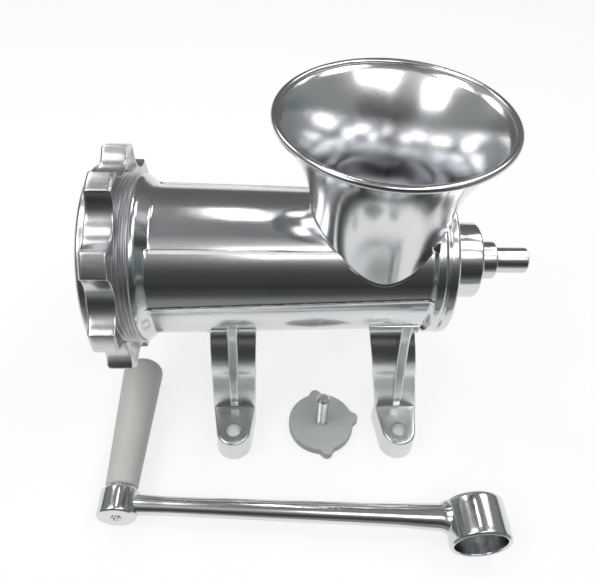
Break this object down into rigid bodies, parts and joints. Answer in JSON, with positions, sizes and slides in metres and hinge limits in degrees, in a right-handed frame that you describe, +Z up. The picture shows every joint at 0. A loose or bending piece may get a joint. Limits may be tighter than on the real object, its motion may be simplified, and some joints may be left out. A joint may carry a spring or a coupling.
{
  "type": "manual meat grinder",
  "caption": "Hand-cranked meat grinder: flared hopper on a footed barrel, lobed ring nut, plate, knife and auger, with its crank and thumb screw lying in front.",
  "frame": {"origin": "middle of the four bolt holes in the feet, on the table that the feet stand on", "axes": "+X along the barrel axis towards the crank end, +Y away from the side where the crank lies, +Z up"},
  "size_m": [0.2479, 0.2147, 0.1915],
  "materials": {
    "cast_aluminium": "polished casting",
    "steel": "machined and zinc plated",
    "bronze": "machined",
    "milky_plastic": "moulded, milky and slightly translucent"
  },
  "bodies": {
    "housing": {"casting_mouth": "cast_aluminium", "casting_barrel": "cast_aluminium", "casting_rear": "cast_aluminium", "casting_boss": "cast_aluminium", "casting_neck": "cast_aluminium", "casting_hopper": "cast_aluminium", "leg_front_near": "cast_aluminium", "leg_front_far": "cast_aluminium", "leg_rear_near": "cast_aluminium", "leg_rear_far": "cast_aluminium", "rear_bushing": "bronze", "plate_key": "steel", "crank_hub": "cast_aluminium", "crank_bar": "cast_aluminium", "crank_boss": "cast_aluminium", "grip_pin": "steel", "grip_washer": "steel", "thumb_screw_head": "milky_plastic", "thumb_screw_stud": "steel"},
    "auger": {"auger_core": "cast_aluminium", "auger_flight": "cast_aluminium", "front_stud": "steel", "tail_shaft": "steel", "shaft_lock_pin": "steel", "thrust_washer": "bronze", "cross_knife": "steel"},
    "plate": {"grinding_plate": "steel"},
    "nut": {"ring_nut": "cast_aluminium"},
    "grip": {"grip": "milky_plastic"}
  },
  "joints": [
    {"name": "auger_spin", "type": "hinge", "parent": "housing", "child": "auger", "pos_m": [0, 0, 0.096], "axis": [1, 0, 0], "continuous": true},
    {"name": "plate_out", "type": "slide", "parent": "housing", "child": "plate", "axis": [-1, 0, 0], "range_m": [0, 0.01]},
    {"name": "nut_turn", "type": "hinge", "parent": "plate", "child": "nut", "pos_m": [-0.1132, 0, 0.096], "axis": [-1, 0, 0], "range_deg": [0, 1440]},
    {"name": "grip_spin", "type": "hinge", "parent": "housing", "child": "grip", "pos_m": [-0.1118, -0.06, 0.0126], "axis": [0, 1, 0], "continuous": true}
  ],
  "couplings": [
    {"joint": "plate_out", "follows": "nut_turn", "m_per_rad": 0.00039789}
  ]
}
